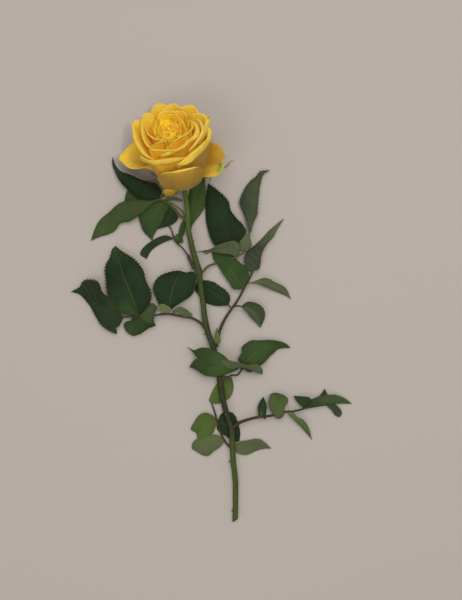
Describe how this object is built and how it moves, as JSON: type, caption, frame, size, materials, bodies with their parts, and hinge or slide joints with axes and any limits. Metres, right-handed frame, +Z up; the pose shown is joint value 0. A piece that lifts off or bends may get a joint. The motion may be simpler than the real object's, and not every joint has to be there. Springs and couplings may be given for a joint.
{
  "type": "cut rose",
  "caption": "Cut yellow rose lying on its back: an open many-petalled bloom on a thorned green stem with toothed compound leaves.",
  "frame": {"origin": "centre of the bounding box's bottom face, on the surface the rose lies on", "axes": "+Y along the stem towards the bloom, +Z up from the surface, +X to the right as seen from above with the bloom at the top"},
  "size_m": [0.313, 0.4598, 0.0927],
  "materials": {
    "stem_green": "satin",
    "leaf_green": "satin",
    "sepal_green": "matte",
    "petal_yellow": "matte"
  },
  "bodies": {
    "root": {"stem": "stem_green", "receptacle": "stem_green", "leaf_behind_bloom": "leaf_green", "leaf_left": "leaf_green", "leaf_low_left": "leaf_green", "leaf_lower_middle": "leaf_green", "leaf_right": "leaf_green", "leaf_small_left": "leaf_green", "leaf_upper_left": "leaf_green", "leaf_upper_right": "leaf_green", "side_shoot": "leaf_green", "sepal_left_a": "sepal_green", "sepal_left_b": "sepal_green", "sepal_right_a": "sepal_green", "sepal_right_b": "sepal_green", "sepal_back": "sepal_green", "petal_guard_left": "petal_yellow", "petal_guard_right": "petal_yellow", "petal_guard_low_right": "petal_yellow", "petal_cup_front": "petal_yellow", "petal_roll_front_left": "petal_yellow", "petal_roll_front_right": "petal_yellow", "petal_left_outer": "petal_yellow", "petal_left_second": "petal_yellow", "petal_back_left": "petal_yellow", "petal_back_middle": "petal_yellow", "petal_back_right": "petal_yellow", "petal_right_top": "petal_yellow", "petal_right_outer": "petal_yellow", "petal_inner_right_b": "petal_yellow", "petal_inner_right_a": "petal_yellow", "petal_inner_front": "petal_yellow", "petal_inner_fold": "petal_yellow", "petal_inner_left": "petal_yellow", "petal_inner_low": "petal_yellow", "petal_inner_edge": "petal_yellow", "petal_inner_back": "petal_yellow", "petal_inner_back_b": "petal_yellow", "petal_inner_right_c": "petal_yellow", "petal_inner_right_d": "petal_yellow", "petal_inner_left_b": "petal_yellow", "petal_heart_a": "petal_yellow", "petal_heart_b": "petal_yellow", "petal_heart_c": "petal_yellow", "petal_heart_d": "petal_yellow", "petal_heart_e": "petal_yellow", "petal_heart_f": "petal_yellow", "petal_guard_back": "petal_yellow", "petal_guard_fallen": "petal_yellow"}
  },
  "joints": []
}
